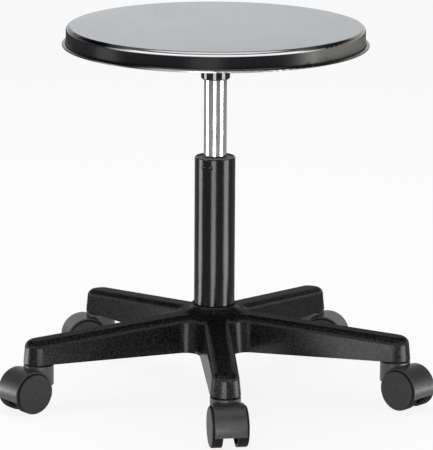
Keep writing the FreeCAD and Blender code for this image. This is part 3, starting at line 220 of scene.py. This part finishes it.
sky_level = 0.45  # light from all round, 1 would be white
backdrop_white = 0.955  # as the floor shows to the camera, so that no horizon is seen
ceiling_level = 0.08
ceiling_light_level = 0.75
horizon = (0.26, 0.34)  # height of a direction, as its sine: white below, sides dark above
ceiling_edge = (0.52, 0.60)  # the ceiling starts here all round
ceiling_light = (0.86, 0.92)  # and its light here
ceiling_tilt = 0.14  # lowers the ceiling's edge behind the stool
side_edge = (0.70, 0.84)  # share of a direction that is sideways, where the sides start
side_tilt = 0.3
overhead_size = 1.6
overhead_place = (-0.25, 0.1, 2.1)
overhead_power = 26
strip_level = 7
strip_joins = (0.34, 0.62, 1.1, 1.8, 2.42)  # each strip widens in steps as it runs out
strip_fill = 0.9  # a step's width, as a share of the wedge that it stands in
strip_height = 0.012
strips = (  # name, direction from the stool with 0 towards the camera, half angle
    ("strip_left", -88, 12),
    ("strip_front", -7, 12),
    ("strip_right", 67, 15),
)

sky = Finish(bpy.data.worlds.new("studio_sky"))
scene.world = sky.material
sky_light = sky.tree.nodes["Background"]
direction = sky.node("TexCoord", output="Generated")
split = sky.node("SeparateXYZ", None, direction).socket.node
along, away, up = (Signal(sky, socket) for socket in split.outputs)
above = sky.smooth(up + ceiling_tilt * away, *ceiling_edge)
beside = sky.smooth(abs(along) + side_tilt * away, *side_edge)
beside = beside * sky.smooth(up, *horizon)
dark = above.maths("MAXIMUM", above, beside)
mirrored = sky.mix(dark, (1, 1, 1), (ceiling_level,) * 3)
mirrored = sky.mix(sky.smooth(up, *ceiling_light), mirrored, (ceiling_light_level,) * 3)
sky_seen = sky.mix(rays(sky, "Glossy"), (backdrop_white,) * 3, mirrored)
sky.feed(
    sky_light.inputs["Color"],
    sky.mix(rays(sky, "Camera", "Glossy", "Transmission"), (sky_level,) * 3, sky_seen),
)


def soft_box(name, width, length, power, place, mirrored=True):
    """An area light that the camera doesn't see, nor reflections unless mirrored."""
    light = bpy.data.lights.new(name, "AREA")
    light.shape = "RECTANGLE"
    light.size = width
    light.size_y = length
    light.energy = power
    lamp = bpy.data.objects.new(name, light)
    lamp.matrix_world = place
    lamp.visible_camera = False
    lamp.visible_glossy = mirrored
    scene.collection.objects.link(lamp)


soft_box(
    "overhead_box", overhead_size, overhead_size, overhead_power,
    Matrix.Translation(overhead_place), mirrored=False,
)
facing_up = Matrix.Rotation(pi, 4, "X")
for strip, turn, half_angle in strips:
    for near, far in zip(strip_joins, strip_joins[1:]):
        strip_middle = (near + far) / 2
        strip_width = 2 * strip_middle * tan(radians(half_angle)) * strip_fill
        strip_area = strip_width * (far - near)
        soft_box(
            strip, strip_width, far - near, strip_level * pi * strip_area,
            Matrix.Rotation(radians(turn), 4, "Z")
            @ Matrix.Translation((0, -strip_middle, strip_height))
            @ facing_up,
        )


# Casters: each turns on a plated stem, with two moulded nylon wheels under a moulded hood. The hood
# is glossier than the wheels' faces, and their treads are a dull black, darkened further with
# painted shade from under the hood.

def dress(finish, *nodes):
    """Give CAD nodes a finish."""
    for node in nodes:
        frame["nodes"][node].data.materials.clear()
        frame["nodes"][node].data.materials.append(finish.material)


def grained(name, dark, light, rough, scale, press=0.0, **constants):
    """A finish that is speckled from its dark to its light colour, and lightly pressed."""
    finish = Finish(name, **constants)
    grain = finish.noise(scale, detail=3.0, roughness=0.6)
    speckle = finish.smooth(grain, 0.4, 0.66)
    finish.set(
        Base_Color=finish.mix(speckle, dark, light),
        Roughness=rough + 0.12 * (speckle - 0.5),
    )
    if press:
        finish.bump(grain, strength=press, distance=0.0003)
    return finish


casters = ("front", "right", "rear_right", "rear_left", "left")
tread_start = 0.0238  # metres from the axle, just inside the wheel's rim
tread_step = 0.0005
wheel_speckles = 900
wheel_dark = (0.030, 0.030, 0.031)
wheel_light = (0.048, 0.048, 0.049)
# the tread's own dull black, with painted shade from under the hood in it
tread_black_and_shade = (0.003, 0.003, 0.003)

hood_nylon = grained(
    "hood_nylon", (0.016, 0.016, 0.0164), (0.036, 0.036, 0.0365), rough=0.4, scale=700, press=0.5,
    Specular_IOR_Level=0.9,
)
zinc = grained(
    "zinc_steel", (0.34, 0.34, 0.37), (0.55, 0.55, 0.56), rough=0.35, scale=420, press=0.08,
    Metallic=1.0,
)
for caster in casters:
    spin = next(
        joint for joint in frame["record"]["behaviour"]["joints"]
        if joint["name"] == f"wheel_{caster}_a_spin"
    )
    wheel_nylon = Finish(f"wheel_nylon_{caster}", Roughness=0.5, Specular_IOR_Level=0.4)
    from_axle = wheel_nylon.node(
        "VectorMath", {"operation": "SUBTRACT"}, wheel_nylon.place(), tuple(spin["pos_m"])
    )
    across = wheel_nylon.node(
        "VectorMath", {"operation": "CROSS_PRODUCT"}, from_axle, tuple(spin["axis"])
    )
    out_from_axle = wheel_nylon.node("VectorMath", {"operation": "LENGTH"}, across, output="Value")
    on_tread = wheel_nylon.smooth(out_from_axle, tread_start, tread_start + tread_step)
    speckle = wheel_nylon.noise(wheel_speckles, detail=3.0, roughness=0.6)
    face = wheel_nylon.mix(wheel_nylon.smooth(speckle, 0.4, 0.65), wheel_dark, wheel_light)
    # the tread is painted black: its own dull black and painted shade from under the hood
    wheel_nylon.set(
        Base_Color=wheel_nylon.mix(on_tread, face, tread_black_and_shade),
        Roughness=0.5 + 0.4 * on_tread,
    )
    wheel_nylon.bump(speckle, strength=0.15, distance=0.0003)
    dress(hood_nylon, f"caster_hood_{caster}")
    dress(wheel_nylon, f"wheel_{caster}_a", f"wheel_{caster}_b")
    dress(zinc, f"wheel_axle_{caster}", f"caster_stem_{caster}")
dress(zinc, "grip_rings")


# Star base: five hollow arms moulded in one piece of black nylon round the hub,
# with a coarse moulded grain. The flat tops are dull, and the drafted sides shine.

base_grains = 480
base_pit = (0.003, 0.003, 0.0032)
base_peak = (0.03, 0.03, 0.0305)
side_gloss = 0.55
top_gloss_loss = 0.42
grain_height = 0.0011

base_nylon = Finish("base_nylon", Roughness=0.6, Specular_IOR_Level=0.0, Coat_Roughness=0.24)
facing = base_nylon.node("NewGeometry", output="Normal")
upward = base_nylon.node("SeparateXYZ", None, facing, output="Z")
grain = base_nylon.noise(base_grains, detail=4.0, roughness=0.75)
base_nylon.set(
    Base_Color=base_nylon.mix(base_nylon.smooth(grain, 0.46, 0.62), base_pit, base_peak),
    Coat_Weight=side_gloss - top_gloss_loss * base_nylon.smooth(upward, 0.35, 0.9),
)
base_nylon.bump(grain, strength=1.0, distance=grain_height)
dress(base_nylon, "star_base")


# Column: a steel tube in satin black powder coat, pressed into the hub. It holds
# the plastic guide bush, the end disc and the thrust bearing.

tube_paint = grained(
    "tube_paint", (0.003, 0.003, 0.0032), (0.006, 0.006, 0.0063), rough=0.19, scale=900, press=0.05,
    Specular_IOR_Level=0.36,
)
inner_plastic = grained(
    "inner_plastic", (0.022, 0.022, 0.024), (0.045, 0.045, 0.047),
    rough=0.5, scale=500, press=0.1,
)
inner_steel = grained(
    "inner_steel", (0.42, 0.42, 0.44), (0.58, 0.58, 0.6), rough=0.3, scale=350, press=0.06,
    Metallic=1.0,
)
dress(tube_paint, "outer_tube")
dress(inner_plastic, "guide_bush")
dress(inner_steel, "tube_base_disc")
dress(zinc, "thrust_washer_lower", "thrust_balls", "thrust_washer_upper")


# Gas lift: a chromed cylinder that slides in the bush, with the pressure tube,
# the piston on its rod, the seals and the brass valve inside it.

chrome = grained(
    "chrome", (0.74, 0.74, 0.75), (0.82, 0.82, 0.83), rough=0.13, scale=60, Metallic=1.0,
)
valve_brass = grained(
    "valve_brass", (0.52, 0.38, 0.15), (0.66, 0.5, 0.24), rough=0.3, scale=350, press=0.06,
    Metallic=1.0,
)
black_rubber = grained(
    "black_rubber", (0.014, 0.014, 0.014), (0.028, 0.028, 0.028),
    rough=0.8, scale=600, press=0.15,
)
dress(chrome, "gas_cylinder")
dress(inner_plastic, "cylinder_gland", "piston")
dress(inner_steel, "pressure_tube", "piston_rod", "retaining_clip")
dress(valve_brass, "valve_block", "valve_pin")
dress(black_rubber, "gland_seal", "piston_ring", "rubber_buffer")


# Seat mechanism: a welded box with the glossy taper socket, on the mounting plate
# that is bolted to two channels under the pan.

mechanism_paint = grained(
    "mechanism_paint", (0.007, 0.007, 0.0075), (0.015, 0.015, 0.016),
    rough=0.35, scale=650, press=0.15,
)
socket_paint = grained(
    "socket_paint", (0.003, 0.003, 0.003), (0.005, 0.005, 0.005), rough=0.08, scale=200,
    Specular_IOR_Level=1.0,
)
dress(mechanism_paint, "mechanism_box", "mount_plate", "stiffener_left", "stiffener_right")
dress(socket_paint, "taper_socket")
dress(zinc, "weld_nuts", "seat_bolts", "spring_washers")


# Lever: a bent painted rod that turns on a pin in the box, with a moulded bush and
# paddle. It points back under the seat, hidden behind the column at rest.

dress(mechanism_paint, "lever_rod")
dress(inner_plastic, "lever_bush", "lever_grip")
dress(zinc, "lever_pin")


# Seat: one round of sheet steel, pressed, with its foot turned out into a folded lip. Top and lip
# are bare satin steel, and the top is painted with shade that darkens it from back left to front
# right. The bend between top and skirt is bright with a painted highlight, and the skirt is dark
# with a painted dark reflection, with a lighter painted reflection in a patch on its right. The lip
# has a painted highlight at its front and a painted dark reflection at its sides.

pan_low, pan_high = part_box("seat_pan")
bend_start = (0.00005, 0.0003)  # metres below the top
skirt_start = (0.0045, 0.0057)
lip_end = (0.0038, 0.0032)  # metres above the foot
lip_highlight_front = (0.10, 0.06)  # the lip's painted highlight at the front, metres to each side
reflection_patch_start = (0.088, 0.122)  # metres to the right
reflection_rise = 14  # the painted reflection patch grows towards its top, so much to the metre
bend_highlight_ends = (0.100, 0.135)  # metres to each side, where the bend's painted highlight runs out
painted_shade_width = 0.52  # painted shade: the top darkens slowly from back left to front right
drift_cloud = 1.3
mottle_share = 7.0
# the top's light and dark steel: the ends of its mottled grain and of the painted shade that
# darkens it towards front right
top_mottle_and_lit_steel = (0.50, 0.53, 0.55)
top_mottle_and_shaded_steel = (0.355, 0.37, 0.39)
# painted highlight: bright steel on the bend between top and skirt
bend_highlight_steel = (0.92, 0.92, 0.92)
# painted dark reflection: the skirt is near-black steel
skirt_dark_reflection_steel = (0.012, 0.012, 0.0145)
# painted reflection: lighter steel in a patch on the skirt's right
patch_reflection_steel = (0.125, 0.12, 0.112)
# painted highlight on the lip's front, and painted dark reflection at its sides
lip_highlight_steel = (0.6, 0.6, 0.61)
lip_side_dark_reflection_steel = (0.06, 0.06, 0.062)

pan_steel = Finish("pan_steel", Specular_IOR_Level=0.1)
x, y, z = pan_steel.coordinates()
below_top = pan_high.z - z
on_bend = pan_steel.smooth(below_top, *bend_start)
on_skirt = pan_steel.smooth(below_top, *skirt_start)
on_lip = pan_steel.smooth(z, pan_low.z + lip_end[0], pan_low.z + lip_end[1])
mottle = pan_steel.noise(520, detail=4.0, roughness=0.75)
# painted shade: a slope that darkens the top from back left to front right, with a slow cloud of
# tone on it
painted_shade_and_cloud = 0.5 + (x - y) / painted_shade_width + drift_cloud * (pan_steel.noise(9) - 0.5)
shade = pan_steel.smooth(painted_shade_and_cloud + mottle_share * (mottle - 0.5), -0.9, 1.9)
top = pan_steel.mix(shade, top_mottle_and_lit_steel, top_mottle_and_shaded_steel)
# painted reflection: a lighter patch on the right of the skirt, growing towards its top
reflection_cloud = pan_steel.noise(60, detail=4.0, roughness=0.7) + reflection_rise * (z - pan_low.z)
reflection_patch = pan_steel.smooth(x, *reflection_patch_start) * pan_steel.smooth(reflection_cloud, 0.36, 0.52)
skirt_reflection = pan_steel.mix(reflection_patch, skirt_dark_reflection_steel, patch_reflection_steel)
# painted highlight on the bend at front and back, which runs out into the skirt's painted dark
# reflection at the sides
bend_highlight = pan_steel.mix(pan_steel.smooth(abs(x), *bend_highlight_ends), bend_highlight_steel, skirt_reflection)
# painted highlight on the front of the lip; the rest of the lip gets painted dark reflection
lip_highlight_mask = pan_steel.smooth(abs(x), *lip_highlight_front) * pan_steel.smooth(y, 0.0, -0.05)
lip_reflections = pan_steel.mix(lip_highlight_mask, lip_side_dark_reflection_steel, lip_highlight_steel)
colour = pan_steel.mix(on_bend, top, bend_highlight)
# the skirt's painted dark reflection, with its lighter patch
colour = pan_steel.mix(on_skirt, colour, skirt_reflection)
pan_steel.set(
    Base_Color=pan_steel.mix(on_lip, colour, lip_reflections),
    Metallic=0.6 + 0.4 * on_bend - 0.85 * on_skirt * (1 - on_lip),
    Roughness=0.33 - 0.23 * on_bend + 0.12 * on_skirt,
)
pan_steel.bump(mottle, strength=0.05, distance=0.0002)
dress(pan_steel, "seat_pan")
